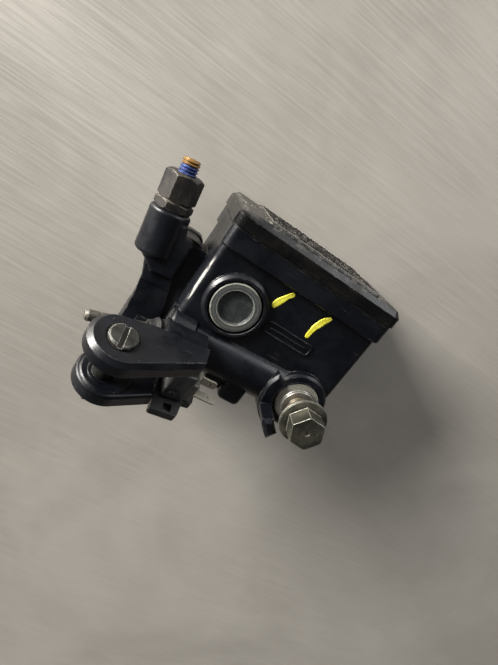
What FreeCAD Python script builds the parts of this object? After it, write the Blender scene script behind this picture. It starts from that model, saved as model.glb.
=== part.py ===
import FreeCAD, Part
import math
import os
from FreeCAD import Placement, Rotation
from FreeCAD import Vector as V

# Front brake master cylinder with integral rectangular reservoir, right-hand handlebar.
# Row frame, millimetres: origin at the centre of the handlebar clamp, +X along the handlebar
# towards the hose end, +Y from the lever side to the clamp holder side, +Z up out of the lid.

doc = FreeCAD.newDocument("MasterCylinder")
sheet = doc.addObject("Spreadsheet::Sheet", "Dims")
rows = [0]


def cell(alias, value):
    """one driving dimension: a word beside a plain number"""
    rows[0] += 1
    sheet.set("A%d" % rows[0], alias)
    sheet.set("B%d" % rows[0], "%.6g" % value)
    sheet.setAlias("B%d" % rows[0], alias)
    return value


# ---- driving dimensions ---------------------------------------------------------------
# position of the clamp centre, from the lid's lower front left corner
CX = cell("clamp_from_corner_x", -6.2)
CY = cell("clamp_from_corner_y", 31.0)
CZ = cell("clamp_from_corner_z", -44.5)
LIDL = cell("lid_length", 80.7)
LIDW = cell("lid_width", 48.8)
SKIRT = cell("lid_skirt_height", 4.7)
LIDT = cell("lid_top_height", 7.0)
FLANGE = cell("diaphragm_flange", 0.9)
TILTB = cell("bore_climb_angle", 3.0)
TILTL = cell("lever_plane_angle", 20.5)
BORE = cell("bore_radius", 6.35)
HOUS = cell("housing_radius", 10.0)
BARR = cell("bar_radius", 11.1)
SPLIT = cell("clamp_half_gap", 0.25)
CLW = cell("clamp_width", 14.0)
BOLTZ = cell("clamp_bolt_offset", 21.0)
PIVU = cell("pivot_along_bore", -17.4)
PIVW = cell("pivot_from_bore", -30.3)
EARIN = cell("ear_inner_half_gap", 5.8)
EARUP = cell("upper_ear_top", 14.3)
EARLO = cell("lower_ear_bottom", 12.5)
EARTOPIN = cell("upper_ear_underside", 8.0)
EARR = cell("ear_round_radius", 11.9)
PIVR = cell("pivot_shank_radius", 4.0)
PORTX = cell("port_x", 65.9)
PORTZ = cell("port_z", -48.8)
PORTY = cell("port_face_y", -1.16)
GLX = cell("glass_x", 19.8)
GLZ = cell("glass_z", -27.4)
GLR = cell("glass_radius", 10.4)
MIRT = cell("mirror_axis_tilt", 8.7)
RODR = cell("rod_radius", 2.2)
BALLR = cell("rod_ball_radius", 2.9)
SEATU = cell("rod_seat_u", 7.0)
RODU = cell("rod_end_u", -30.4)
RODW = cell("rod_end_w", -13.4)
doc.recompute()


def A(x, y, z):
    """a point measured from the lid's lower front left corner"""
    return V(x - CX, y - CY, z - CZ)


# bore and lever frame: origin on the bore axis near its mouth, local x along the bore inwards,
# local y across the lever plane towards the clamp, local z square to the lever plane
LEV = Placement(A(4.0, 8.0, -51.3), Rotation(V(0, 1, 0), -TILTB) * Rotation(V(1, 0, 0), TILTL))
ALONG_X = Rotation(V(0, 1, 0), 90)       # a cylinder's axis turned to +x
ALONG_NY = Rotation(V(1, 0, 0), 90)      # turned to -y
ALONG_Y = Rotation(V(1, 0, 0), -90)      # turned to +y
SECTION_YZ = Rotation(V(1, 1, 1), 120)   # a profile's x, y and normal turned to y, z and +x
SECTION_XZ = Rotation(V(1, 0, 0), 90)    # a profile's x, y and normal turned to x, z and -y
ZERO = Placement()

made = []
fresh = []


def keep(obj):
    made.append(obj)
    fresh.append(obj)
    return obj


def refresh():
    """recompute only what was added since the last call"""
    sheet.recompute()
    for o in fresh:
        o.recompute()
    fresh.clear()


def bind(obj, prop, alias, value):
    if isinstance(value, str):
        obj.setExpression(prop, value)
    else:
        cell(alias, value)
        obj.setExpression(prop, "Dims." + alias)


def box(name, low, size, base=ZERO, rot=None):
    o = keep(doc.addObject("Part::Box", name))
    bind(o, "Length", name + "_len", size[0])
    bind(o, "Width", name + "_wid", size[1])
    bind(o, "Height", name + "_hei", size[2])
    o.Placement = base * Placement(V(*low), rot or Rotation())
    return o


def cyl(name, at, radius, height, base=ZERO, rot=None):
    o = keep(doc.addObject("Part::Cylinder", name))
    bind(o, "Radius", name + "_rad", radius)
    bind(o, "Height", name + "_hei", height)
    o.Placement = base * Placement(V(*at), rot or Rotation())
    return o


def cone(name, at, r1, r2, height, base=ZERO, rot=None):
    o = keep(doc.addObject("Part::Cone", name))
    bind(o, "Radius1", name + "_rlow", r1)
    bind(o, "Radius2", name + "_rtop", r2)
    bind(o, "Height", name + "_hei", height)
    o.Placement = base * Placement(V(*at), rot or Rotation())
    return o


def ball(name, at, radius, base=ZERO):
    o = keep(doc.addObject("Part::Sphere", name))
    bind(o, "Radius", name + "_rad", radius)
    o.Placement = base * Placement(V(*at), Rotation())
    return o


def ring(name, at, major, minor, base=ZERO, rot=None):
    o = keep(doc.addObject("Part::Torus", name))
    bind(o, "Radius1", name + "_major", major)
    bind(o, "Radius2", name + "_minor", minor)
    o.Placement = base * Placement(V(*at), rot or Rotation())
    return o


def prism(name, at, across_flats, height, base=ZERO, rot=None):
    o = keep(doc.addObject("Part::Prism", name))
    o.Polygon = 6
    cell(name + "_flats", across_flats)
    o.setExpression("Circumradius", "Dims.%s_flats / (2 * cos(30 deg))" % name)
    bind(o, "Height", name + "_hei", height)
    o.Placement = base * Placement(V(*at), rot or Rotation())
    return o


def fuse(name, *objs):
    o = keep(doc.addObject("Part::MultiFuse", name))
    o.Shapes = list(objs)
    return o


def cut(name, base, *tools):
    for i, tool in enumerate(tools):
        o = keep(doc.addObject("Part::Cut", name if i == len(tools) - 1 else "%s_c%d" % (name, i)))
        o.Base, o.Tool = base, tool
        base = o
    return base


def common(name, a, b):
    o = keep(doc.addObject("Part::MultiCommon", name))
    o.Shapes = [a, b]
    return o


def edges_where(obj, test):
    refresh()
    out = []
    for i, e in enumerate(obj.Shape.Edges):
        lo, hi = e.FirstParameter, e.LastParameter
        if test(e.valueAt(lo), e.valueAt((lo + hi) / 2), e.valueAt(hi)):
            out.append(i + 1)
    return out


def soften(kind, name, obj, size, test):
    """Part::Fillet or Part::Chamfer on the edges that test picks"""
    ids = edges_where(obj, test)
    if not ids:
        raise SystemExit("no edge for " + name)
    o = keep(doc.addObject(kind, name))
    o.Base = obj
    o.Edges = [(i, size, size) for i in ids]
    return o


def outline(points):
    """closed profile: (x, y) corners, or (x, y, r) corners rounded to radius r"""
    pts = [(p[0], p[1], p[2] if len(p) > 2 else 0.0) for p in points]
    n = len(pts)
    ends = []
    for i in range(n):
        x, y, r = pts[i]
        if r <= 0:
            ends.append((V(x, y, 0), V(x, y, 0), None))
            continue
        a = V(pts[i - 1][0] - x, pts[i - 1][1] - y, 0)
        b = V(pts[(i + 1) % n][0] - x, pts[(i + 1) % n][1] - y, 0)
        a.normalize()
        b.normalize()
        half = math.acos(max(-1, min(1, a.dot(b)))) / 2
        d = r / math.tan(half)
        mid = a + b
        mid.normalize()
        c = V(x, y, 0) + mid * (r / math.sin(half))
        ends.append((V(x, y, 0) + a * d, V(x, y, 0) + b * d, c - mid * r))
    geo = []
    for i in range(n):
        p1, p2, m = ends[i]
        if m is not None:
            geo.append(Part.Arc(p1, m, p2))
        q = ends[(i + 1) % n][0]
        if (q - p2).Length > 1e-6:
            geo.append(Part.LineSegment(p2, q))
    return geo


def arc_sector(r1, r2, a1, a2):
    """profile of a ring sector between two angles in degrees"""
    def at(r, a):
        return V(r * math.cos(math.radians(a)), r * math.sin(math.radians(a)), 0)
    m = (a1 + a2) / 2
    return [Part.Arc(at(r2, a1), at(r2, m), at(r2, a2)), Part.LineSegment(at(r2, a2), at(r1, a2)),
            Part.Arc(at(r1, a2), at(r1, m), at(r1, a1)), Part.LineSegment(at(r1, a1), at(r2, a1))]


def plane(body, role):
    return [f for f in body.Origin.OriginFeatures if f.Role == role][0]


def sketch(body, name, geometry, role="XY_Plane"):
    s = body.newObject("Sketcher::SketchObject", name)
    s.AttachmentSupport = [(plane(body, role), "")]
    s.MapMode = "FlatFace"
    s.addGeometry(geometry, False)
    made.append(s)
    return s


def pad(name, geometry, height, base=ZERO, at=(0, 0, 0), rot=None):
    """PartDesign body: one profile on its XY plane, padded along its z"""
    b = doc.addObject("PartDesign::Body", name)
    s = sketch(b, name + "_sketch", geometry)
    p = b.newObject("PartDesign::Pad", name + "_pad")
    p.Profile = s
    bind(p, "Length", name + "_thick", height)
    b.Tip = p
    fresh.extend([s, p])
    made.append(p)
    keep(b)
    b.Placement = base * Placement(V(*at), rot or Rotation())
    return b


def spin(name, points, base=ZERO, at=(0, 0, 0), rot=None):
    """PartDesign body: a profile (radius, height) turned about its z axis"""
    b = doc.addObject("PartDesign::Body", name)
    s = b.newObject("Sketcher::SketchObject", name + "_sketch")
    s.AttachmentSupport = [(plane(b, "XZ_Plane"), "")]
    s.MapMode = "FlatFace"
    s.addGeometry(outline(points), False)
    made.append(s)
    s.recompute()
    r = b.newObject("PartDesign::Revolution", name + "_turn")
    r.Profile = s
    r.ReferenceAxis = (s, ["V_Axis"])
    cell(name + "_turn_angle", 360)
    r.setExpression("Angle", "Dims.%s_turn_angle" % name)
    b.Tip = r
    fresh.extend([s, r])
    made.append(r)
    keep(b)
    b.Placement = base * Placement(V(*at), rot or Rotation())
    return b


def spring(name, pitch, height, radius, wire, base=ZERO, at=(0, 0, 0), rot=None):
    """round wire swept along a helix that climbs along local z"""
    h = keep(doc.addObject("Part::Helix", name + "_helix"))
    bind(h, "Pitch", name + "_pitch", pitch)
    bind(h, "Height", name + "_hei", height)
    bind(h, "Radius", name + "_mean", radius)
    c = keep(doc.addObject("Part::Circle", name + "_wire"))
    bind(c, "Radius", name + "_wirer", wire)
    c.Placement = Placement(V(radius, 0, 0), Rotation(V(1, 0, 0), 90))
    s = keep(doc.addObject("Part::Sweep", name))
    s.Sections = [c]
    s.Spine = (h, ["Edge1"])
    s.Solid = True
    s.Frenet = True
    s.Placement = base * Placement(V(*at), rot or Rotation())
    return s


parts = []


def part(obj, label):
    obj.Label = label
    parts.append(obj)
    return obj


# ======================= body casting ==================================================
near = lambda a, b, t=0.05: abs(a - b) < t

# reservoir: deep at the front, shallow at the back so that the handlebar passes below it
res = pad("res_lower", outline([(3.5, -8.6), (45.3, -8.6), (45.3, -31, 4), (21.5, -31, 5), (17.5, -43.5, 3), (3.5, -43.5, 2)]),
          77.9, at=A(1.5, 0, 0), rot=SECTION_YZ)
res_f = soften("Part::Fillet", "res_corners", res, 3.0,
               lambda a, m, b: near(a.x, b.x) and near(a.y, b.y) and abs(a.z - b.z) > 15)
rim = pad("res_rim", outline([(0.7, 0.7, 3.6), (LIDL - 0.7, 0.7, 3.6), (LIDL - 0.7, LIDW - 0.7, 3.6), (0.7, LIDW - 0.7, 3.6)]),
          "9.0 - Dims.diaphragm_flange", at=A(0, 0, -9.0))
rim_f = soften("Part::Chamfer", "rim_lower_edge", rim, 0.6, lambda a, m, b: near(m.z, A(0, 0, -9.0).z))
# cylinder housing, cast under the reservoir's front
hous = cyl("housing", (-2.5, 0, 0), "Dims.housing_radius", 75.5, LEV, ALONG_X)
hous_f = soften("Part::Fillet", "housing_end", hous, 3.0,
                lambda a, m, b: (LEV.inverse().multVec(m)).x > 72 and (a - b).Length < 1e-6)
flare = cyl("mouth_flare", (-2.5, 0, 0), 11.0, 11.0, LEV, ALONG_X)
flare_f = soften("Part::Chamfer", "mouth_edge", flare, 0.8, lambda a, m, b: (a - b).Length < 1e-6)
neck = box("neck_web", A(3.0, 3.6, -53.5), (73.0, 13.4, 11.5))
# hose port boss on the front, with its machined seat
boss = cyl("port_boss", A(0, 9, 0), 13.2, 9.3, Placement(V(PORTX, 0, PORTZ), Rotation()), ALONG_NY)
boss_f = soften("Part::Chamfer", "port_boss_edge", boss, 0.9, lambda a, m, b: (a - b).Length < 1e-6 and m.y < A(0, 4, 0).y)
seat = cyl("port_seat", A(0, 3, 0), 9.8, 3.0 - PORTY, Placement(V(PORTX, 0, PORTZ), Rotation()), ALONG_NY)
# stopper finger that keeps the hose eye from turning: a curved blade round the port's lower left
crescent = pad("crescent", arc_sector(10.6, 17.0, 152, 243), 10.0, at=A(PORTX, 7.0, PORTZ), rot=SECTION_XZ)
crescent_f = soften("Part::Chamfer", "crescent_edge", crescent, 1.1, lambda a, m, b: near(m.y, A(0, -3.0, 0).y))
finger = pad("finger", arc_sector(11.7, 16.6, 206, 240), 17.2, at=A(PORTX, 1.0, PORTZ), rot=SECTION_XZ)
finger_f = soften("Part::Chamfer", "finger_edge", finger, 1.5, lambda a, m, b: near(m.y, A(0, -16.2, 0).y))
groove = pad("finger_groove", arc_sector(15.6, 18.5, 218.5, 227.5), 12.4, at=A(PORTX, -2.6, PORTZ), rot=SECTION_XZ)
# cast stub under the cylinder
stub = box("stub", A(35.0, 0.2, -65.0), (10.4, 8.4, 11.0))
stub_f = soften("Part::Fillet", "stub_round", stub, 2.4,
                lambda a, m, b: near(a.z, b.z) and m.z < A(0, 0, -64).z or (near(a.x, b.x) and near(a.y, b.y)))
# cast shelf between the cylinder and the switch terminals
shelf = pad("switch_shelf", outline([(26.0, -49.0), (33.6, -49.0), (34.6, -61.6, 2), (28.8, -64.6, 2), (26.0, -59.0)]), 8.2, at=A(0, 9.8, 0), rot=SECTION_XZ)
shelf_f = soften("Part::Chamfer", "switch_shelf_edge", shelf, 0.9, lambda a, m, b: near(m.y, A(0, 1.6, 0).y, 0.02) and m.z < A(0, 0, -56).z)
# sight glass boss
gboss = cyl("glass_boss", A(GLX, 5, GLZ), 13.6, 4.1, ZERO, ALONG_NY)
gboss_f = soften("Part::Chamfer", "glass_boss_edge", gboss, 1.2, lambda a, m, b: (a - b).Length < 1e-6 and m.y < A(0, 4, 0).y)
# perch: the wall that carries the clamp saddle, the lever ears and the mirror boss
perch = pad("perch", outline([(0.8, -26.0), (-4.9, -24.5, 1), (-4.9, -17.9, 1.5), (-14.0, -16.5, 2), (-24.0, -20.0), (-24.3, -31.2, 2.5), (-19.6, -32.2, 3),
                              (-16.6, -39.6), (-15.4, -47.0), (-14.6, -56.0), (-14.6, -72.5, 4), (0.8, -72.5, 4)]),
            4.0, at=A(0, 19.0, 0), rot=SECTION_XZ)
perch_cut = pad("perch_channel", outline([(3.0, -10.0), (-4.8, -10.0), (-4.5, -36.2, 4), (-1.9, -45.9, 4), (-0.4, -54.0), (-0.2, -80.0), (3.0, -80.0)]),
                9.0, at=A(0, 21.0, 0), rot=SECTION_XZ)
perch_s = cut("perch_front", perch, perch_cut)
perch_f = soften("Part::Fillet", "perch_edge", perch_s, 1.5,
                 lambda a, m, b: near(m.y, A(0, 15.0, 0).y, 0.02))
step1 = box("perch_step_upper", A(-26.0, 12.0, -80.0), (40.0, 3.45, 42.4), rot=Rotation(V(0, 1, 0), -11))
step2 = box("perch_step_lower", A(-26.0, 12.0, -84.0), (40.0, 3.9, 40.6), rot=Rotation(V(0, 1, 0), -8))
perch_f = cut("perch_faced", perch_f, step1, step2)
saddle = pad("saddle", outline([(0.8, -17.0, 6), (-13.2, -17.0, 6), (-15.4, -47.0), (-14.7, -56.0), (-14.7, -73.0, 6), (0.8, -73.0, 6)]),
             31.0 - 0.25 - 18.5, at=A(0, 31.0 - 0.25, 0), rot=SECTION_XZ)
link = box("perch_link", A(1.6, 9.0, -58.5), (30.4, 21.7, 15.5))
link2 = box("perch_side", A(-5.5, 17.2, -60.0), (9.0, 13.5, 41.5))
# mirror boss, leaning out from the perch's upper left
MIR = Placement(A(-19.8, 20.0, -10.7), Rotation(V(0, 1, 0), -MIRT))
mboss = cyl("mirror_boss", (0, 0, -20.4), 8.5, 19.4, MIR)
mboss_f = soften("Part::Fillet", "mirror_boss_round", mboss, 1.6, lambda a, m, b: (a - b).Length < 1e-6)
mlink = pad("mirror_link", outline([(-24.0, -15.0), (-11.2, -13.2), (-9.6, -17.0, 1), (-4.9, -18.8), (-4.9, -35.5), (-14.5, -37.0), (-18.6, -33.4, 3), (-22.4, -31.0)]),
            13.0, at=A(0, 26.6, 0), rot=SECTION_XZ)
mlink_f = soften("Part::Fillet", "mirror_link_edge", mlink, 1.8, lambda a, m, b: near(m.y, A(0, 13.6, 0).y, 0.02))
# lever ears: equal outlines, the upper one thick and bevelled, the lower one joined back to the perch
c30, s30 = math.cos(math.radians(31.2)), math.sin(math.radians(31.2))
fx, fy = PIVU + EARR * s30, PIVW - EARR * c30           # where the front edge leaves the round end


def ear_geo(far, rear, PIVU=PIVU, PIVW=PIVW, EARR=EARR):
    """round end about the pivot, straight front edge climbing at 31 degrees, then the points given"""
    fx, fy = PIVU + EARR * s30, PIVW - EARR * c30
    rx, ry = rear[-1]
    # tangent from the last rear point to the round end
    dx, dy = rx - PIVU, ry - PIVW
    dist = math.hypot(dx, dy)
    ang = math.atan2(dy, dx) + math.acos(EARR / dist)
    tx, ty = PIVU + EARR * math.cos(ang), PIVW + EARR * math.sin(ang)
    a0 = math.atan2(fy - PIVW, fx - PIVU)
    a1 = ang
    while a1 > a0:
        a1 -= 2 * math.pi
    am = (a0 + a1) / 2
    g = [Part.Arc(V(tx, ty, 0), V(PIVU + EARR * math.cos(am), PIVW + EARR * math.sin(am), 0), V(fx, fy, 0))]
    pts = [(fx, fy)] + far + rear + [(tx, ty)]
    for p, q in zip(pts, pts[1:]):
        g.append(Part.LineSegment(V(p[0], p[1], 0), V(q[0], q[1], 0)))
    return g


front_at = lambda u: fy + (u - fx) * s30 / c30
up = pad("upper_ear", ear_geo([(13.6, front_at(13.6)), (14.2, -16.2)], [(-6.8, -17.4), (-16.5, -17.9)]),
         EARUP - EARTOPIN, LEV, at=(0, 0, EARTOPIN))
inv = LEV.inverse()


def bevel_edge(a, m, b):
    q = inv.multVec(m)
    return abs(q.z - EARUP) < 0.02 and q.x < PIVU + 6 and (q.x < PIVU - 8 or q.y < PIVW - 8)


up_f = soften("Part::Chamfer", "upper_ear_bevel", up, 1.8, bevel_edge)
up_g = up_f
# web from the upper ear down to the housing
web_up = pad("upper_web", outline([(-17.5, 5.8), (-17.5, 12.6), (-15.0, 12.6), (-4.0, 9.2), (-2.0, 5.8)]),
             17.0, LEV, at=(-3.2, 0, 0), rot=SECTION_YZ)
low = pad("lower_ear", ear_geo([(3.6, front_at(3.6) + 1.4), (3.6, -10.5), (12.0, -9.5), (12.0, 2.0), (2.0, 14.0)],
                               [(-12.5, 14.0), (-14.5, -6.0), (-19.5, -17.4)], PIVU + 1.6, PIVW + 1.5, 11.2),
          EARLO - EARIN - 0.8, LEV, at=(0, 0, -EARLO))
low_f = soften("Part::Fillet", "lower_ear_edge", low, 1.4,
               lambda a, m, b: abs(inv.multVec(m).z + EARIN + 0.8) < 0.02 and inv.multVec(m).y < -19)
lpad = cyl("lower_ear_pad", (PIVU + 1.4, PIVW + 1.1, -EARLO), 9.6, EARLO - EARIN - 0.2, LEV)
lpad_f = soften("Part::Chamfer", "lower_pad_edge", lpad, 0.5,
                lambda a, m, b: (a - b).Length < 1e-6 and inv.multVec(m).z > -8)
lring = cyl("lower_ear_ring", (PIVU, PIVW, -EARLO), 5.3, EARLO - EARIN, LEV)
casting = fuse("casting_solid", res_f, rim_f, hous_f, flare_f, neck, boss_f, seat, crescent_f, finger_f, stub_f, shelf_f, gboss_f,
               perch_f, saddle, link, link2, mboss_f, mlink_f, up_g, web_up, low_f, lpad_f, lring)

# bosses for the lid screws are left standing inside the reservoir's end walls
cavity = pad("cavity", outline([(8.5, -8.0, 0), (8.5, 4.0), (41.8, 4.0), (41.8, -27.0, 4), (25.0, -27.0, 3), (14.5, -39.5, 3), (8.5, -39.5, 2)]),
             71.4, at=A(4.8, 0, 0), rot=SECTION_YZ)
sb1 = cyl("screw_boss_left", A(6.2, LIDW / 2, -20.0), 4.6, 19.1)
sb2 = cyl("screw_boss_right", A(LIDL - 6.2, LIDW / 2, -20.0), 4.6, 19.1)
cavity_net = cut("cavity_net", cavity, sb1, sb2)
tools = [
    cavity_net,
    cyl("screw_hole_left", A(6.2, LIDW / 2, -16.0), 2.05, 20.0),
    cyl("screw_hole_right", A(LIDL - 6.2, LIDW / 2, -16.0), 2.05, 20.0),
    cyl("glass_pocket", A(GLX, 5.9, GLZ), 11.2, 8.0, ZERO, ALONG_NY),
    cyl("glass_window", A(GLX, 12.0, GLZ), 8.8, 10.0, ZERO, ALONG_NY),
    cyl("bore_hole", (-4.0, 0, 0), "Dims.bore_radius", 58.0, LEV, ALONG_X),
    cyl("boot_recess", (-4.0, 0, 0), 8.7, 5.0, LEV, ALONG_X),
    cyl("circlip_groove", (3.0, 0, 0), 7.1, 1.1, LEV, ALONG_X),
    cyl("passage", (50.0, 0, 0), 1.6, 12.0, LEV, ALONG_X),
    cyl("spot_face", A(PORTX, PORTY, PORTZ), 9.9, 6.0, ZERO, ALONG_NY),
    cyl("port_hole", A(PORTX, 10.0, PORTZ), 5.0, 14.0, ZERO, ALONG_NY),
    cyl("relief_hole", A(46.0, 9.5, -46.5), 0.6, 9.0),
    cyl("supply_hole", A(34.0, 9.8, -47.5), 1.5, 10.0),
    cyl("bar_seat", A(-30.5, CY, CZ), "Dims.bar_radius", 31.3, ZERO, ALONG_X),
    cyl("bar_pass", A(0.79, CY, CZ), 12.0, 80.0, ZERO, ALONG_X),
    cyl("bar_pass_left", A(-30.5, CY, CZ), 12.0, 15.05, ZERO, ALONG_X),
    cyl("clamp_hole_top", A(CX, 21.0, CZ + BOLTZ), 3.02, 12.0, ZERO, ALONG_Y),
    cyl("clamp_hole_low", A(CX, 21.0, CZ - BOLTZ), 3.02, 12.0, ZERO, ALONG_Y),
    cyl("mirror_hole", (0, 0, -19.0), 5.0, 22.0, MIR),
    cyl("pivot_counterbore", (PIVU, PIVW, EARUP - 0.6), 6.1, 3.0, LEV),
    cyl("pivot_hole_up", (PIVU, PIVW, 4.0), 4.05, 14.0, LEV),
    cyl("pivot_hole_low", (PIVU, PIVW, -14.0), 3.05, 10.0, LEV),
    cyl("switch_screw_hole", (8.0, -7.6, -14.0), 1.55, 6.5, LEV),
    groove,
]
alltools = fuse("casting_hollows", *tools)
part(cut("master_cylinder_body", casting, alltools), "master_cylinder_body")

# ======================= reservoir top =================================================
lid0 = pad("lid_block", outline([(0, 0, 4.2), (LIDL, 0, 4.2), (LIDL, LIDW, 4.2), (0, LIDW, 4.2)]), "Dims.lid_top_height", at=A(0, 0, 0))
lid1 = soften("Part::Chamfer", "lid_bevel", lid0, 2.3, lambda a, m, b: near(m.z, A(0, 0, LIDT).z))
lidpad = pad("lid_panel", outline([(12.5, 4.6, 1.5), (LIDL - 12.5, 4.6, 1.5), (LIDL - 12.5, LIDW - 4.6, 1.5), (12.5, LIDW - 4.6, 1.5)]),
             1.2, at=A(0, 0, LIDT - 0.2))
lidpad_f = soften("Part::Chamfer", "lid_panel_edge", lidpad, 0.7, lambda a, m, b: near(m.z, A(0, 0, LIDT + 1.0).z))
lid2 = fuse("lid_solid", lid1, lidpad_f)
lid_in = pad("lid_recess", outline([(3.4, 3.4, 2.5), (LIDL - 3.4, 3.4, 2.5), (LIDL - 3.4, LIDW - 3.4, 2.5), (3.4, LIDW - 3.4, 2.5)]),
             5.0, at=A(0, 0, -1.0))
lb1 = cyl("lid_boss_left", A(6.2, LIDW / 2, 1.6), 4.2, 4.0)
lb2 = cyl("lid_boss_right", A(LIDL - 6.2, LIDW / 2, 1.6), 4.2, 4.0)
lid_net = cut("lid_recess_net", lid_in, lb1, lb2)
lt = fuse("lid_hollows", lid_net,
          cyl("lid_hole_left", A(6.2, LIDW / 2, -1.0), 2.2, 12.0), cyl("lid_hole_right", A(LIDL - 6.2, LIDW / 2, -1.0), 2.2, 12.0),
          cone("lid_sink_left", A(6.2, LIDW / 2, LIDT - 2.2), 2.2, 4.5, 2.3), cone("lid_sink_right", A(LIDL - 6.2, LIDW / 2, LIDT - 2.2), 2.2, 4.5, 2.3))
part(cut("reservoir_lid", lid2, lt), "reservoir_lid")

sc = []
for k, x in (("left", 6.2), ("right", LIDL - 6.2)):
    h = cone("lid_screw_head_" + k, A(x, LIDW / 2, LIDT - 2.2), 2.0, 4.2, 2.2)
    s = cyl("lid_screw_shank_" + k, A(x, LIDW / 2, -12.0), 2.0, 12.0 + LIDT - 2.1)
    f = fuse("lid_screw_" + k, h, s)
    b1 = box("lid_screw_slot_" + k, A(x - 0.45, LIDW / 2 - 2.4, LIDT - 1.5), (0.9, 4.8, 2.0))
    b2 = box("lid_screw_cross_" + k, A(x - 2.4, LIDW / 2 - 0.45, LIDT - 1.5), (4.8, 0.9, 2.0))
    sc.append(cut("lid_screw_cut_" + k, f, b1, b2))
part(fuse("lid_screws", *sc), "lid_screws")

sp = pad("set_plate_sheet", outline([(4.0, 4.0, 2), (LIDL - 4.0, 4.0, 2), (LIDL - 4.0, LIDW - 4.0, 2), (4.0, LIDW - 4.0, 2)]), 1.2, at=A(0, 0, 0.15))
sph = fuse("set_plate_holes", cyl("set_plate_hole_left", A(6.2, LIDW / 2, -1), 2.3, 5), cyl("set_plate_hole_right", A(LIDL - 6.2, LIDW / 2, -1), 2.3, 5),
           pad("set_plate_window", outline([(20, 14, 3), (LIDL - 20, 14, 3), (LIDL - 20, LIDW - 14, 3), (20, LIDW - 14, 3)]), 5.0, at=A(0, 0, -1)))
part(cut("lid_set_plate", sp, sph), "lid_set_plate")

df = pad("diaphragm_sheet", outline([(0.9, 0.9, 3.4), (LIDL - 0.9, 0.9, 3.4), (LIDL - 0.9, LIDW - 0.9, 3.4), (0.9, LIDW - 0.9, 3.4)]),
         "Dims.diaphragm_flange - 0.04", at=A(0, 0, -FLANGE + 0.02))
dc = pad("diaphragm_cup", outline([(14, 11, 4), (LIDL - 14, 11, 4), (LIDL - 14, LIDW - 9, 4), (14, LIDW - 9, 4)]), 11.0, at=A(0, 0, -11.5))
dh = pad("diaphragm_hollow", outline([(15.3, 12.3, 2.8), (LIDL - 15.3, 12.3, 2.8), (LIDL - 15.3, LIDW - 10.3, 2.8), (15.3, LIDW - 10.3, 2.8)]), 12.0, at=A(0, 0, -10.2))
dd = fuse("diaphragm_solid", df, dc)
part(cut("diaphragm", dd, dh, cyl("diaphragm_hole_left", A(6.2, LIDW / 2, -3), 2.3, 5), cyl("diaphragm_hole_right", A(LIDL - 6.2, LIDW / 2, -3), 2.3, 5)), "diaphragm")

# sight glass: a lens with a sunken window, sealed by a ring against the pocket's floor
g0 = cyl("lens_rim", A(GLX, 5.6, GLZ), "Dims.glass_radius", 4.6, ZERO, ALONG_NY)
g0f = soften("Part::Fillet", "lens_round", g0, 0.8, lambda a, m, b: (a - b).Length < 1e-6 and m.y < A(0, 2, 0).y)
g1 = cyl("lens_plug", A(GLX, 8.2, GLZ), 7.4, 3.0, ZERO, ALONG_NY)
g2 = fuse("lens_solid", g0f, g1)
g3 = cone("lens_window", A(GLX, 2.6, GLZ), 6.9, 7.5, 2.6, ZERO, ALONG_NY)
part(cut("sight_glass_lens", g2, g3), "sight_glass_lens")
sg = cut("sight_glass_seal", cyl("seal_outer", A(GLX, 7.6, GLZ), 8.7, 1.9, ZERO, ALONG_NY), cyl("seal_inner", A(GLX, 8.6, GLZ), 7.5, 4.0, ZERO, ALONG_NY))
part(sg, "sight_glass_seal")

bf = pad("baffle_sheet", outline([(28, 9.2, 1), (52, 9.2, 1), (52, 13.6, 1), (28, 13.6, 1)]), 1.0, at=A(0, 0, -37.4))
bl1 = box("baffle_leg_left", A(29.0, 9.6, -39.2), (1.2, 3.4, 2.2))
bl2 = box("baffle_leg_right", A(49.8, 9.6, -39.2), (1.2, 3.4, 2.2))
part(fuse("reservoir_baffle", bf, bl1, bl2), "reservoir_baffle")

# ======================= clamp =========================================================
hol = pad("holder_arch", outline([(31.25, CZ + 28.2, 1), (38.0, CZ + 28.2, 2.5), (38.0, CZ + 13.5, 3), (46.2, CZ + 7.5, 5), (46.2, CZ - 7.5, 5), (38.0, CZ - 13.5, 3),
                                  (38.0, CZ - 28.2, 2.5), (31.25, CZ - 28.2, 1)]), "Dims.clamp_width", at=A(CX - CLW / 2, 0, 0), rot=SECTION_YZ)
hplan = pad("holder_plan", outline([(CX - CLW / 2, CZ - 28.2, 6), (CX + CLW / 2, CZ - 28.2, 6), (CX + CLW / 2, CZ + 28.2, 6), (CX - CLW / 2, CZ + 28.2, 6)]),
            30.0, at=A(0, 55.0, 0), rot=SECTION_XZ)
hol = common("holder_body", hol, hplan)
hh = fuse("holder_hollows", cyl("holder_bar", A(-20, CY, CZ), "Dims.bar_radius", 30, ZERO, ALONG_X),
          cyl("holder_hole_top", A(CX, 28, CZ + BOLTZ), 3.3, 14, ZERO, ALONG_Y), cyl("holder_hole_low", A(CX, 28, CZ - BOLTZ), 3.3, 14, ZERO, ALONG_Y))
part(cut("clamp_holder", hol, hh), "clamp_holder")
bolts = []
for k, z in (("top", CZ + BOLTZ), ("low", CZ - BOLTZ)):
    s = cyl("clamp_shank_" + k, A(CX, 21.4, z), 2.98, 20.1, ZERO, ALONG_Y)
    f = cone("clamp_flange_" + k, A(CX, 38.05, z), 6.3, 5.0, 1.6, ZERO, ALONG_Y)
    hx = prism("clamp_hex_" + k, A(CX, 38.6, z), 8.0, 5.4, ZERO, ALONG_Y)
    hc = cone("clamp_hexcone_" + k, A(CX, 38.6, z), 9.0, 4.0, 5.4, ZERO, ALONG_Y)
    bolts.append(fuse("clamp_bolt_" + k, s, f, common("clamp_head_" + k, hx, hc)))
part(fuse("clamp_bolts", *bolts), "clamp_bolts")

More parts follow.
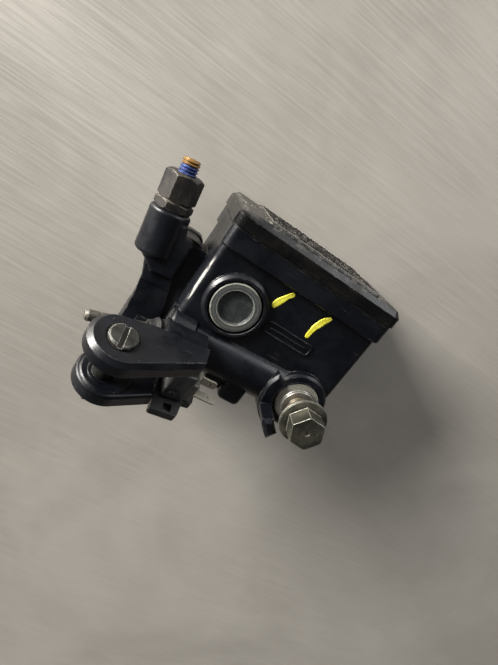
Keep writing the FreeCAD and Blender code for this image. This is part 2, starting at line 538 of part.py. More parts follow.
# ======================= mirror adapter and stud =======================================
ah = prism("adapter_hex", (0, 0, -0.9), 14.0, 14.7, MIR, Rotation(V(0, 0, 1), 8))
at_ = spin("adapter_envelope", [(0, -0.9), (7.2, -0.9), (8.2, 0.2), (8.2, 2.1), (7.0, 2.5), (7.0, 3.2), (8.2, 3.6), (8.2, 12.6), (6.6, 13.8), (0, 13.8)], MIR)
ac = common("adapter_head", ah, at_)
ash = cyl("adapter_shank", (0, 0, -12.0), 4.95, 12.0, MIR)
af = fuse("adapter_solid", ac, ash)
part(cut("mirror_adapter", af, cyl("adapter_thread", (0, 0, 3.0), 3.6, 12.0, MIR)), "mirror_adapter")
part(spin("mirror_stud_body", [(0, 3.2), (3.5, 3.2), (3.5, 13.7), (3.8, 14.0), (3.8, 18.9), (3.1, 19.7), (0, 19.7)], MIR), "mirror_stud")

# ======================= lever pivot ===================================================
ph = cyl("pivot_head", (PIVU, PIVW, EARUP - 0.58), 5.45, 2.1, LEV)
ph_f = soften("Part::Chamfer", "pivot_head_edge", ph, 0.5, lambda a, m, b: (a - b).Length < 1e-6 and inv.multVec(m).z > EARUP + 1)
ps = cyl("pivot_shank", (PIVU, PIVW, -EARIN + 0.05), "Dims.pivot_shank_radius", EARUP + EARIN + 0.4, LEV)
pt = cyl("pivot_thread", (PIVU, PIVW, -19.2), 3.0, 14.0, LEV)
pu = fuse("pivot_solid", ph_f, ps, pt)
part(cut("pivot_screw", pu, box("pivot_slot", (PIVU - 0.9, PIVW - 7, EARUP + 0.3), (1.8, 14.0, 3.0), LEV)), "pivot_screw")
nx = prism("locknut_hex", (PIVU, PIVW, -EARLO - 5.6), 10.0, 5.5, LEV, Rotation(V(0, 0, 1), 12))
nf = cone("locknut_flange", (PIVU, PIVW, -EARLO - 1.7), 5.2, 6.4, 1.6, LEV)
nu = fuse("locknut_solid", nx, nf)
part(cut("pivot_locknut", nu, cyl("locknut_hole", (PIVU, PIVW, -EARLO - 7), 3.05, 9, LEV)), "pivot_locknut")

# ======================= banjo bolt and washers ========================================
BJ = Placement(A(PORTX, PORTY, PORTZ), ALONG_NY)
bs = spin("banjo_stem", [(0, -9.0), (4.2, -9.0), (4.9, -8.2), (4.9, 13.2), (9.6, 13.2), (10.0, 13.6), (10.0, 14.2), (9.6, 14.6), (7.9, 15.1), (0, 15.1)], BJ)
bh = prism("banjo_hex", (0, 0, 14.4), 13.0, 8.2, BJ, Rotation(V(0, 0, 1), -5))
be = spin("banjo_hex_envelope", [(0, 14.2), (7.9, 14.2), (7.9, 21.9), (7.05, 22.6), (0, 22.6)], BJ)
bc = common("banjo_head", bh, be)
bu = fuse("banjo_solid", bs, bc)
bt = fuse("banjo_hollows", cyl("banjo_drill", (0, 0, -10.0), 1.9, 18.0, BJ), cyl("banjo_cross", (-6, 0, 6.0), 1.3, 12.0, BJ, ALONG_X),
          cone("banjo_dimple", (0, 0, 22.2), 0.5, 1.1, 0.5, BJ))
part(cut("banjo_bolt", bu, bt), "banjo_bolt")
for k, z0 in (("inner", 0.02), ("outer", 1.56)):
    w = cut("washer_" + k + "_cut", cyl("washer_" + k, (0, 0, z0), 7.25, 1.5, BJ), cyl("washer_" + k + "_hole", (0, 0, z0 - 1), 5.1, 4, BJ))
    wf = soften("Part::Chamfer", "washer_" + k + "_part", w, 0.2, lambda a, m, b: (a - b).Length < 1e-6 and (BJ.inverse().multVec(m)).x ** 2 + (BJ.inverse().multVec(m)).y ** 2 > 49)
    part(wf, "sealing_washer_" + k)

# ======================= inside the bore ===============================================
AX = Placement(V(0, 0, 0), ALONG_X)
BOR = LEV * AX
cl = cut("circlip_cut", cyl("circlip_outer", (0, 0, 3.1), 6.95, 0.9, BOR), cyl("circlip_inner", (0, 0, 2.0), 5.5, 3, BOR), box("circlip_gap", (-9, -1.6, 2.0), (6.0, 3.2, 3.0), BOR))
part(cl, "circlip")
part(cut("stop_washer_cut", cyl("stop_washer_outer", (0, 0, 4.12), 6.25, 0.8, BOR), cyl("stop_washer_inner", (0, 0, 3.5), 5.3, 3, BOR)), "stop_washer")
pb = spin("piston_turned", [(0, 5.0), (6.3, 5.0), (6.3, 9.4), (4.5, 9.4), (4.5, 12.0), (6.3, 12.0), (6.3, 13.4), (3.4, 13.4), (3.4, 30.0), (6.3, 30.0),
                            (6.3, 32.6), (2.6, 32.6), (2.6, 38.6), (0, 38.6)], BOR)
pc = cut("piston_seat", pb, ball("seat_ball", (0, 0, SEATU), 3.0, BOR), cone("seat_mouth", (0, 0, 4.0), 5.2, 3.0, 3.0, BOR))
part(pc, "piston")
part(spin("secondary_cup_turned", [(4.55, 9.45), (6.3, 9.45), (6.3, 11.95), (4.55, 11.95)], BOR), "secondary_cup")
part(spin("primary_cup_turned", [(2.65, 32.65), (6.3, 32.65), (6.3, 36.6), (5.2, 36.6), (4.7, 34.4), (2.65, 34.4)], BOR), "primary_cup")
part(spring("return_spring", 3.1, 17.3, 3.9, 0.55, BOR, (0, 0, 35.5)), "return_spring")

# push rod, resting tilted in its seat, and the dust boot round it
rod_len = math.hypot(SEATU - RODU, RODW)
rod_ang = math.degrees(math.atan2(-RODW, SEATU - RODU))
ROD = LEV * Placement(V(SEATU, 0, 0), Rotation(V(0, 0, 1), rod_ang)) * Placement(V(0, 0, 0), Rotation(V(0, 1, 0), -90))
rb = spin("rod_turned", [(0, 0), (1.9, 1.5), (1.9, 3.0), (RODR, 3.3), (RODR, 15.0), (1.8, 15.4), (1.8, 16.8), (RODR, 17.2), (RODR, rod_len + 1.0), (RODR - 0.7, rod_len + 1.9), (0, rod_len + 1.9)], ROD)
part(fuse("push_rod_solid", rb, ball("rod_ball", (0, 0, 0), "Dims.rod_ball_radius", ROD), cyl("rod_nose", (0, 0, rod_len - 3.0), 2.3, 3.8, ROD)), "push_rod")
bead = cyl("boot_bead", (0, 0, -2.3), 8.5, 3.1, BOR)
bell = spin("boot_bellows", [(0, 7.0), (5.0, 7.0), (5.5, 9.0), (4.6, 11.2), (5.3, 13.0), (4.2, 14.6), (3.6, 16.9), (0, 16.9)], ROD)
bin1 = cyl("boot_inside", (0, 0, -3.5), 6.6, 6.0, BOR)
bin2 = spin("boot_hollow", [(0, 5.0), (4.1, 5.0), (4.4, 9.0), (3.6, 11.2), (4.2, 13.0), (3.3, 14.9), (0, 14.9)], ROD)
bin3 = cyl("boot_lip", (0, 0, 5.0), 2.35, 14.0, ROD)
collar = spin("boot_collar", [(4.2, 0), (8.5, 0), (8.5, 1.2), (4.2, 1.2)], BOR, (0, 0, -2.3))
bsolid = fuse("boot_solid", cut("boot_ring", bead, bin1), collar, bell)
part(cut("dust_boot_cut", bsolid, bin2, bin3, cyl("boot_trim", (0, 0, 0.8), 9.5, 12.0, BOR)), "dust_boot")

# ======================= brake light switch ============================================
SW = LEV * Placement(V(7.1, -23.8, -12.4), Rotation(V(0, 0, 1), 8.0))
sh = box("switch_block", (0, 0, 0.1), (9.4, 11.6, 15.6), SW)
sh_f = soften("Part::Fillet", "switch_round", sh, 0.8, lambda a, m, b: True)
sm = cyl("switch_mark", (3.4, 0.2, 3.0), 1.7, 0.5, SW, ALONG_NY)
su = fuse("switch_solid", sh_f, sm)
part(cut("switch_housing", su, cyl("switch_plunger_hole", (-1, 5.4, 12.4), 2.25, 8.4, SW, ALONG_X)), "switch_housing")
sb = box("switch_base_end", (9.5, 1.2, 0.1), (3.0, 10.0, 10.5), SW)
part(soften("Part::Fillet", "switch_base_round", sb, 0.7, lambda a, m, b: True), "switch_base")
# carrier plate below the housing, screwed up into the lower web
cp = pad("carrier_plate", outline([(4.7, -31.0, 1.0), (15.9, -29.8, 1.0), (16.9, -21.4, 0.8), (21.0, -20.6, 0.8), (21.0, -10.6, 1.0), (13.5, -9.0), (13.5, -3.5, 2), (4.7, -3.5, 2)]),
         3.6, LEV, (0, 0, -16.2))
cp_h = fuse("carrier_holes", box("carrier_window", (9.6, -29.0, -15.5), (3.4, 3.6, 8.0), LEV), cyl("carrier_screw_hole", (8.0, -7.6, -18.0), 1.7, 8.0, LEV))
part(cut("switch_carrier", cp, cp_h), "switch_carrier")
ssh = cyl("switch_screw_head", (8.0, -7.6, -18.3), 3.0, 2.05, LEV)
sss = cyl("switch_screw_shank", (8.0, -7.6, -17.0), 1.5, 8.5, LEV)
ssu = fuse("switch_screw_solid", ssh, sss)
part(cut("switch_screw", ssu, box("switch_screw_slot", (5.5, -8.0, -19.0), (5.0, 0.8, 1.7), LEV)), "switch_screw")
t1 = pad("terminal_low", outline([(19.9, -17.6), (29.2, -17.6), (30.0, -16.8), (30.0, -14.4), (29.2, -13.6), (19.9, -13.6)]), 0.8, LEV, (0, 0, -11.6))
t1h = cyl("terminal_low_hole", (26.4, -15.6, -13), 0.75, 4, LEV)
t2 = pad("terminal_top", outline([(19.9, -6.4), (25.8, -6.4), (26.6, -5.6), (26.6, -3.2), (25.8, -2.4), (19.9, -2.4)]), 0.8, LEV, (0, -13.6, 0), Rotation(V(1, 0, 0), 90))
t2h = cyl("terminal_top_hole", (23.8, -13.0, -4.4), 0.75, 4, LEV, ALONG_NY)
part(fuse("switch_terminals", cut("terminal_low_cut", t1, t1h), cut("terminal_top_cut", t2, t2h)), "switch_terminals")
part(spin("plunger_turned", [(0, -3.4), (1.3, -3.4), (2.0, -2.6), (2.15, -2.2), (2.15, 3.2), (0, 3.2)], SW * Placement(V(0, 5.4, 12.4), ALONG_X)), "switch_plunger")
part(spring("switch_spring", 1.15, 3.3, 1.6, 0.36, SW * Placement(V(0, 5.4, 12.4), ALONG_X), (0, 0, 3.5)), "switch_spring")

# ======================= check and write ===============================================
doc.recompute()
bad = [o.Name for o in doc.Objects if "Invalid" in o.State or "Error" in o.State]
if bad:
    raise SystemExit("failed objects: " + ", ".join(bad))
os.makedirs("parts", exist_ok=True)
for name in os.listdir("parts"):
    if name.endswith(".step"):
        os.remove(os.path.join("parts", name))
for o in parts:
    if o.Shape.isNull() or not o.Shape.isValid() or o.Shape.Volume <= 0:
        raise SystemExit("bad shape: " + o.Label)
for o in parts:
    o.Shape.exportStep(os.path.join("parts", o.Label + ".step"))
    b = o.Shape.BoundBox
    print("%-24s solids %d vol %9.1f  x %.1f..%.1f y %.1f..%.1f z %.1f..%.1f" % (
        o.Label, len(o.Shape.Solids), o.Shape.Volume, b.XMin, b.XMax, b.YMin, b.YMax, b.ZMin, b.ZMax))
print(len(parts), "sub-parts")
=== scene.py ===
import math

import bmesh
import bpy
import numpy as np
from mathutils import Matrix, Vector
from mathutils.bvhtree import BVHTree


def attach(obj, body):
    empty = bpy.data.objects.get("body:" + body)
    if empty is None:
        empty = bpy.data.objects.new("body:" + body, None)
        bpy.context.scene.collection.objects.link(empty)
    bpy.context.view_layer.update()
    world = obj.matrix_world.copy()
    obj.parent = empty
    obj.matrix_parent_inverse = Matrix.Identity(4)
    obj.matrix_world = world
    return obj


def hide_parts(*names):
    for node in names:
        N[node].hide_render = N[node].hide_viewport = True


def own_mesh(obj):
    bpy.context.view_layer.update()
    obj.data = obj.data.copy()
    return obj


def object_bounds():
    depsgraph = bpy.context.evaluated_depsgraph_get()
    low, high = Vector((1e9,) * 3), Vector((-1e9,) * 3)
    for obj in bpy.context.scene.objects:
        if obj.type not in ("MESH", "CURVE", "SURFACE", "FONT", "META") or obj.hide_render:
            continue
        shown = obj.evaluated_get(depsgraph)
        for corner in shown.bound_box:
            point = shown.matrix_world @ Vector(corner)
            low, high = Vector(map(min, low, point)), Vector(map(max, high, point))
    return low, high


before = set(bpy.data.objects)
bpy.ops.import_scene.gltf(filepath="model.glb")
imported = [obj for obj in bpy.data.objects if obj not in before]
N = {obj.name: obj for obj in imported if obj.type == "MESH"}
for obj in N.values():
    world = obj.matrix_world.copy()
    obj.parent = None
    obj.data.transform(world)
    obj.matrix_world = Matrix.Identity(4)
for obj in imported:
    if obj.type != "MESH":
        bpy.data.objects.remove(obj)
cad_box = [list(map(float, c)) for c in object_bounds()]
rng = np.random.default_rng(7)

# ---------------------------------------------------------------- frames of the part, in metres
def A(x, y, z):
    """a point given from the lid's lower front left corner, in mm"""
    return Vector((x + 6.2, y - 31.0, z + 44.5)) / 1000.0


def place(origin, rot):
    return Matrix.Translation(origin) @ rot.to_4x4()


RX = lambda a: Matrix.Rotation(math.radians(a), 3, "X")
RY = lambda a: Matrix.Rotation(math.radians(a), 3, "Y")
MIR = place(A(-19.8, 20.0, -10.7), RY(-8.7))
BJ = place(A(65.9, -1.16, -48.8), RX(90))
GX, GZ = 19.8, -27.4


# ---------------------------------------------------------------- mesh helpers
def new_object(name, verts, faces, smooth=True):
    me = bpy.data.meshes.new(name)
    me.from_pydata([tuple(v) for v in verts], [], faces)
    me.validate()
    bm = bmesh.new()
    bm.from_mesh(me)
    bmesh.ops.remove_doubles(bm, verts=bm.verts, dist=1e-7)
    bmesh.ops.recalc_face_normals(bm, faces=bm.faces)
    bm.to_mesh(me)
    bm.free()
    for p in me.polygons:
        p.use_smooth = smooth
    o = bpy.data.objects.new(name, me)
    bpy.context.scene.collection.objects.link(o)
    return o


def threaded(name, M, r, depth, pitch, z0, z1, lead=0.9, seg=80, per=12):
    """a screw thread as one closed skin: crest radius r, root r - depth, ends chamfered over lead (all mm)"""
    rows = int((z1 - z0) / pitch * per) + 1
    verts, faces = [], []
    for i in range(rows):
        z = z0 + (z1 - z0) * i / (rows - 1)
        for k in range(seg):
            a = 2 * math.pi * k / seg
            t = (z / pitch - k / seg) % 1.0
            h = abs(2 * t - 1.0)                      # 1 at the root, 0 at the crest
            h = min(1.0, max(0.0, (h - 0.14) / 0.70))
            rr = r - depth * h
            rr = min(rr, r - depth * 1.15 + (z1 - z) * depth * 1.15 / lead, r - depth * 1.15 + (z - z0) * depth * 1.15 / lead)
            verts.append(M @ Vector((rr * math.cos(a) / 1000, rr * math.sin(a) / 1000, z / 1000)))
    for i in range(rows - 1):
        for k in range(seg):
            a, b = i * seg + k, i * seg + (k + 1) % seg
            faces.append((a, b, b + seg, a + seg))
    for i, zz in ((0, z0), (rows - 1, z1)):
        c = len(verts)
        verts.append(M @ Vector((0, 0, zz / 1000)))
        for k in range(seg):
            faces.append((c, i * seg + k, i * seg + (k + 1) % seg))
    return new_object(name, verts, faces)


body_mesh = N["master_cylinder_body"].data
tree = BVHTree.FromPolygons([v.co.copy() for v in body_mesh.vertices], [tuple(p.vertices) for p in body_mesh.polygons])


def on_front(x, z, reach=-30.0):
    """the body's surface met by a line that runs straight back from the front, at x, z in mm"""
    hit = tree.ray_cast(A(x, reach, z), Vector((0, 1, 0)))
    return hit[0] if hit[0] is not None else A(x, 3.5, z)


# ---------------------------------------------------------------- materials
def nodes_of(name):
    m = bpy.data.materials.new(name)
    m.use_nodes = True
    nt = m.node_tree
    nt.nodes.clear()
    out = nt.nodes.new("ShaderNodeOutputMaterial")
    b = nt.nodes.new("ShaderNodeBsdfPrincipled")
    nt.links.new(b.outputs[0], out.inputs[0])
    return m, nt, b


def math_(nt, op, a, b=None, clamp=False):
    n = nt.nodes.new("ShaderNodeMath")
    n.operation = op
    n.use_clamp = clamp
    for i, v in enumerate((a, b)):
        if v is None:
            continue
        if isinstance(v, (int, float)):
            n.inputs[i].default_value = v
        else:
            nt.links.new(v, n.inputs[i])
    return n.outputs[0]


def span(nt, v, lo, hi, a=0.0, b=1.0):
    n = nt.nodes.new("ShaderNodeMapRange")
    n.interpolation_type = "SMOOTHSTEP"
    nt.links.new(v, n.inputs[0])
    for i, x in zip((1, 2, 3, 4), (lo, hi, a, b)):
        n.inputs[i].default_value = x
    return n.outputs[0]


def mixc(nt, f, a, b):
    n = nt.nodes.new("ShaderNodeMix")
    n.data_type = "RGBA"
    nt.links.new(f, n.inputs[0])
    for i, v in ((6, a), (7, b)):
        if isinstance(v, (tuple, list)):
            n.inputs[i].default_value = (*v[:3], 1)
        else:
            nt.links.new(v, n.inputs[i])
    return n.outputs[2]


def mixf(nt, f, a, b):
    n = nt.nodes.new("ShaderNodeMix")
    n.data_type = "FLOAT"
    nt.links.new(f, n.inputs[0])
    for i, v in ((2, a), (3, b)):
        if isinstance(v, (int, float)):
            n.inputs[i].default_value = v
        else:
            nt.links.new(v, n.inputs[i])
    return n.outputs[0]


def noise(nt, co, scale, detail=4.0, rough=0.55, distort=0.0, out=0):
    n = nt.nodes.new("ShaderNodeTexNoise")
    n.inputs["Scale"].default_value = scale
    n.inputs["Detail"].default_value = detail
    n.inputs["Roughness"].default_value = rough
    n.inputs["Distortion"].default_value = distort
    nt.links.new(co, n.inputs["Vector"])
    return n.outputs[out]


def coords(nt):
    return nt.nodes.new("ShaderNodeTexCoord").outputs["Object"]


def stretched(nt, co, scale, rot=(0, 0, 0)):
    n = nt.nodes.new("ShaderNodeMapping")
    n.inputs["Scale"].default_value = scale
    n.inputs["Rotation"].default_value = [math.radians(a) for a in rot]
    nt.links.new(co, n.inputs["Vector"])
    return n.outputs[0]


def finish_mat(name, base, alt, rough, metal=0.0, grain=900.0, bump=0.04, patch=90.0, wear=None, wear_at=(0.45, 0.62), edge=0.0005,
               dust=0.0, dust_col=(0.32, 0.31, 0.29), scratches=0.0, coat=0.0, spec=0.5, rvar=0.12, extra=None, edge_lo=0.015, edge_hi=0.12):
    """one procedural finish: two-tone base, mottled roughness, fine grain, hairline scratches, edges worn to another colour"""
    m, nt, b = nodes_of(name)
    co = coords(nt)
    big = noise(nt, co, patch, 5.0, 0.6, 0.4)
    fine = noise(nt, co, grain, 3.0, 0.6)
    col = mixc(nt, span(nt, big, 0.38, 0.66), base, alt)
    rgh = math_(nt, "ADD", span(nt, big, 0.3, 0.7, rough - rvar, rough + rvar), span(nt, fine, 0.3, 0.7, -0.05, 0.05))
    met = None
    bev = nt.nodes.new("ShaderNodeBevel")
    bev.samples = 4
    bev.inputs["Radius"].default_value = edge
    height = math_(nt, "MULTIPLY", fine, 1.0)
    if scratches:
        for k, (sc, rt) in enumerate((((60, 2600, 2600), (0, 12, 31)), ((2400, 50, 2400), (20, 0, -14)))):
            s = noise(nt, stretched(nt, co, sc, rt), 1.0, 2.0, 0.5)
            line = span(nt, s, 0.69, 0.76)
            gate = span(nt, noise(nt, co, 55.0 + 20 * k, 2.0), 0.48, 0.62)
            line = math_(nt, "MULTIPLY", line, gate)
            col = mixc(nt, math_(nt, "MULTIPLY", line, scratches), col, tuple(min(1, c * 1.0 + 0.10) for c in (wear or alt)))
            height = math_(nt, "SUBTRACT", height, math_(nt, "MULTIPLY", line, 0.6))
    if dust:
        d = math_(nt, "MULTIPLY", span(nt, noise(nt, co, 2200.0, 2.0), 0.60, 0.72), span(nt, noise(nt, co, 130.0, 4.0), 0.42, 0.64))
        film = span(nt, noise(nt, co, 42.0, 6.0, 0.65), 0.45, 0.8)
        d = math_(nt, "ADD", math_(nt, "MULTIPLY", d, dust), math_(nt, "MULTIPLY", film, dust * 0.18), True)
        col = mixc(nt, d, col, dust_col)
        rgh = math_(nt, "ADD", rgh, math_(nt, "MULTIPLY", d, 0.35))
    if extra:
        col, rgh = extra(nt, co, col, rgh)
    if wear is not None:
        geo = nt.nodes.new("ShaderNodeNewGeometry")
        dot = nt.nodes.new("ShaderNodeVectorMath")
        dot.operation = "DOT_PRODUCT"
        nt.links.new(bev.outputs[0], dot.inputs[0])
        nt.links.new(geo.outputs["Normal"], dot.inputs[1])
        e = math_(nt, "SUBTRACT", 1.0, dot.outputs["Value"])
        e = span(nt, e, edge_lo, edge_hi)
        gate = span(nt, noise(nt, co, 160.0, 5.0, 0.7), wear_at[0], wear_at[1])
        e = math_(nt, "MULTIPLY", e, gate, True)
        col = mixc(nt, e, col, wear)
        rgh = mixf(nt, e, rgh, 0.42)
        if not metal:
            met = math_(nt, "MULTIPLY", e, 0.55)
    bp = nt.nodes.new("ShaderNodeBump")
    bp.inputs["Strength"].default_value = min(1.0, bump * 10)
    bp.inputs["Distance"].default_value = 0.000035
    nt.links.new(height, bp.inputs["Height"])
    nt.links.new(bev.outputs[0], bp.inputs["Normal"])
    nt.links.new(bp.outputs[0], b.inputs["Normal"])
    nt.links.new(col, b.inputs["Base Color"])
    nt.links.new(math_(nt, "MAXIMUM", rgh, 0.06, True), b.inputs["Roughness"])
    if met is not None:
        nt.links.new(met, b.inputs["Metallic"])
    else:
        b.inputs["Metallic"].default_value = metal
    b.inputs["Specular IOR Level"].default_value = spec
    if coat:
        b.inputs["Coat Weight"].default_value = coat
        b.inputs["Coat Roughness"].default_value = 0.18
    return m


def corner_painted_highlight(nt, co, col, rgh):
    """a painted highlight: a pale grey line down the rounded front left upright corner of the reservoir"""
    sep = nt.nodes.new("ShaderNodeSeparateXYZ")
    nt.links.new(co, sep.inputs[0])
    x, y, z = sep.outputs
    p = A(2.5, 4.4, 0)
    dx = math_(nt, "ABSOLUTE", math_(nt, "SUBTRACT", x, p.x))
    dy = math_(nt, "ABSOLUTE", math_(nt, "SUBTRACT", y, p.y))
    near = math_(nt, "MULTIPLY", span(nt, dx, 0.00025, 0.0007, 1.0, 0.0), span(nt, dy, 0.0003, 0.0009, 1.0, 0.0))
    near = math_(nt, "MULTIPLY", near, span(nt, z, A(0, 0, -36).z, A(0, 0, -33).z))
    near = math_(nt, "MULTIPLY", near, span(nt, z, A(0, 0, -19).z, A(0, 0, -14).z, 1.0, 0.0))
    near = math_(nt, "MULTIPLY", near, span(nt, noise(nt, stretched(nt, co, (1, 1, 0.25)), 700.0, 3.0), 0.34, 0.55))
    # the pale grey mixed in here is painted highlight along the rounded corner
    return mixc(nt, near, col, (0.42, 0.41, 0.38)), mixf(nt, near, rgh, 0.38)


def cast_extra(nt, co, col, rgh):
    """a painted highlight down the front left upright corner of the reservoir, plus the machined aluminium face round
    the hose port
    """
    col, rgh = corner_painted_highlight(nt, co, col, rgh)
    sep = nt.nodes.new("ShaderNodeSeparateXYZ")
    nt.links.new(co, sep.inputs[0])
    x, y, z = sep.outputs
    c = A(65.9, 0, -48.8)
    dx, dz = math_(nt, "SUBTRACT", x, c.x), math_(nt, "SUBTRACT", z, c.z)
    r = math_(nt, "SQRT", math_(nt, "ADD", math_(nt, "MULTIPLY", dx, dx), math_(nt, "MULTIPLY", dz, dz)))
    r = math_(nt, "MULTIPLY", r, 1000.0)
    face = math_(nt, "MULTIPLY", span(nt, r, 9.25, 9.6, 1.0, 0.0), span(nt, y, A(0, 0.4, 0).y, A(0, 0.6, 0).y, 1.0, 0.0))
    turn = math_(nt, "SINE", math_(nt, "MULTIPLY", r, 9.0))
    silver = mixc(nt, span(nt, turn, -0.6, 0.9), (0.085, 0.081, 0.068), (0.27, 0.262, 0.232))
    silver = mixc(nt, span(nt, noise(nt, co, 500.0, 5.0, 0.65), 0.50, 0.72), silver, (0.13, 0.115, 0.085))
    return mixc(nt, face, col, silver), mixf(nt, face, rgh, 0.36)


def lid_ends(nt, co, col, rgh):
    """the painted ends of the lid are rubbed thin and greyer towards the left"""
    sep = nt.nodes.new("ShaderNodeSeparateXYZ")
    nt.links.new(co, sep.inputs[0])
    x, y, z = sep.outputs
    left = span(nt, x, A(1.0, 0, 0).x, A(13.0, 0, 0).x, 1.0, 0.0)
    top = span(nt, z, A(0, 0, 5.0).z, A(0, 0, 6.8).z)
    f = math_(nt, "MULTIPLY", math_(nt, "MULTIPLY", left, top), span(nt, noise(nt, co, 150.0, 6.0, 0.7), 0.30, 0.60))
    col = mixc(nt, math_(nt, "MULTIPLY", f, 0.85), col, (0.075, 0.070, 0.062))
    f2 = math_(nt, "MULTIPLY", top, span(nt, noise(nt, co, 260.0, 6.0, 0.7), 0.48, 0.62))
    col = mixc(nt, math_(nt, "MULTIPLY", f2, 0.55), col, (0.085, 0.080, 0.072))
    return col, mixf(nt, f, rgh, 0.5)


PAINT = (0.0022, 0.0027, 0.0046)
cast = finish_mat("cast_black_paint", PAINT, (0.0045, 0.0053, 0.0078), 0.36, grain=1500, bump=0.055, patch=70, wear=(0.16, 0.155, 0.145), wear_at=(0.50, 0.66),
                  edge=0.00055, dust=0.12, dust_col=(0.070, 0.071, 0.070), scratches=0.22, coat=0.03, spec=0.34, extra=cast_extra, rvar=0.09)
holder_m = finish_mat("cast_black_holder", PAINT, (0.009, 0.010, 0.012), 0.38, grain=1500, bump=0.06, patch=80, wear=(0.15, 0.145, 0.14), wear_at=(0.46, 0.62), dust=0.3,
                      dust_col=(0.11, 0.108, 0.10), scratches=0.3)
lid_m = finish_mat("lid_black_enamel", (0.0028, 0.0028, 0.0031), (0.0085, 0.0080, 0.0075), 0.30, grain=1100, bump=0.05, patch=60, wear=(0.20, 0.185, 0.165),
                   wear_at=(0.50, 0.64), edge=0.0006, dust=0.22, dust_col=(0.12, 0.113, 0.10), scratches=0.25, extra=lid_ends, spec=0.22)
adapter_m = finish_mat("adapter_black_oxide", (0.0070, 0.0070, 0.0078), (0.019, 0.0155, 0.0120), 0.48, metal=0.05, grain=800, bump=0.06, patch=150, wear=(0.22, 0.19, 0.15),
                       wear_at=(0.44, 0.62), dust=0.35, dust_col=(0.17, 0.13, 0.09), scratches=0.5)
pivot_m = finish_mat("pivot_dark_steel", (0.010, 0.0105, 0.0095), (0.028, 0.027, 0.023), 0.40, metal=0.2, grain=900, bump=0.05, patch=180, wear=(0.62, 0.60, 0.54),
                     wear_at=(0.40, 0.6), edge=0.00035, dust=0.2, scratches=0.8)
bolt_m = finish_mat("clamp_bolt_black_zinc", (0.035, 0.035, 0.036), (0.07, 0.065, 0.058), 0.38, metal=0.8, grain=900, bump=0.05, patch=160, wear=(0.42, 0.40, 0.37),
                    wear_at=(0.42, 0.6), edge=0.0004, scratches=0.5)
screw_m = finish_mat("lid_screw_dark_zinc", (0.07, 0.066, 0.058), (0.15, 0.135, 0.11), 0.40, metal=0.85, grain=1200, bump=0.05, patch=300, wear=(0.5, 0.47, 0.42),
                     wear_at=(0.40, 0.6), edge=0.0003, scratches=0.5)
banjo_m = finish_mat("banjo_olive_zinc", (0.030, 0.031, 0.024), (0.066, 0.063, 0.047), 0.42, metal=0.5, grain=700, bump=0.05, patch=170, wear=(0.62, 0.60, 0.52),
                     wear_at=(0.34, 0.56), edge=0.00045, dust=0.25, dust_col=(0.20, 0.155, 0.09), scratches=0.9)
shank_m = finish_mat("banjo_shank_brown", (0.050, 0.040, 0.026), (0.105, 0.086, 0.056), 0.46, metal=0.5, grain=900, bump=0.05, patch=260, wear=(0.6, 0.55, 0.44),
                     wear_at=(0.38, 0.6), edge=0.0002, dust=0.3, dust_col=(0.13, 0.09, 0.05))
washer_m = finish_mat("washer_aluminium", (0.36, 0.35, 0.315), (0.21, 0.20, 0.168), 0.33, metal=0.85, grain=1300, bump=0.06, patch=260, wear=(0.85, 0.83, 0.78),
                      wear_at=(0.3, 0.5), edge=0.0002, scratches=0.9)
rod_m = finish_mat("push_rod_steel", (0.075, 0.069, 0.056), (0.042, 0.037, 0.029), 0.50, metal=0.3, grain=900, bump=0.05, patch=150, wear=(0.55, 0.52, 0.46),
                   wear_at=(0.4, 0.6), edge=0.0003, dust=0.3, dust_col=(0.16, 0.13, 0.09), scratches=0.5)
nut_m = finish_mat("locknut_zinc", (0.26, 0.25, 0.22), (0.16, 0.15, 0.125), 0.36, metal=0.85, grain=900, bump=0.05, patch=200, wear=(0.7, 0.68, 0.62), wear_at=(0.35, 0.55),
                   edge=0.0003, scratches=0.5)
alu_m = finish_mat("piston_anodised", (0.34, 0.33, 0.31), (0.25, 0.245, 0.23), 0.30, metal=0.85, grain=1500, bump=0.03, patch=200, wear=(0.7, 0.69, 0.66), edge=0.0002)
spring_m = finish_mat("spring_steel", (0.24, 0.235, 0.22), (0.14, 0.13, 0.115), 0.32, metal=0.9, grain=1800, bump=0.03, patch=400, rvar=0.08)
rubber_m = finish_mat("seal_rubber_black", (0.014, 0.014, 0.014), (0.024, 0.023, 0.022), 0.58, grain=1800, bump=0.05, patch=150, dust=0.4, dust_col=(0.08, 0.076, 0.07), spec=0.35)
boot_m = finish_mat("boot_rubber_black", (0.012, 0.012, 0.012), (0.026, 0.025, 0.023), 0.62, grain=1600, bump=0.06, patch=120, dust=0.6, dust_col=(0.10, 0.092, 0.08), spec=0.3)
plate_m = finish_mat("plate_dark_plastic", (0.018, 0.018, 0.019), (0.03, 0.03, 0.031), 0.5, grain=1500, bump=0.04, patch=120)
carrier_m = finish_mat("switch_carrier_plastic", (0.014, 0.0145, 0.015), (0.028, 0.028, 0.0275), 0.46, grain=1300, bump=0.05, patch=140, wear=(0.13, 0.13, 0.125),
                       wear_at=(0.36, 0.6), edge=0.0004, dust=0.5, dust_col=(0.14, 0.13, 0.115), scratches=0.3)
house_m = finish_mat("switch_housing_plastic", (0.045, 0.047, 0.050), (0.075, 0.075, 0.073), 0.36, grain=1300, bump=0.04, patch=160, wear=(0.26, 0.26, 0.25),
                     wear_at=(0.3, 0.55), edge=0.0005, dust=0.45, dust_col=(0.22, 0.20, 0.17), scratches=0.4, coat=0.15)
base_m = finish_mat("switch_base_plastic", (0.15, 0.14, 0.12), (0.10, 0.096, 0.085), 0.45, grain=1300, bump=0.04, patch=170, wear=(0.36, 0.33, 0.27), wear_at=(0.35, 0.55),
                    edge=0.0004, dust=0.4, dust_col=(0.28, 0.24, 0.18))
term_m = finish_mat("terminal_tinned", (0.58, 0.55, 0.45), (0.44, 0.40, 0.31), 0.42, metal=0.35, grain=1500, bump=0.05, patch=300, wear=(0.86, 0.83, 0.72),
                    wear_at=(0.3, 0.5), edge=0.0002, scratches=0.6)
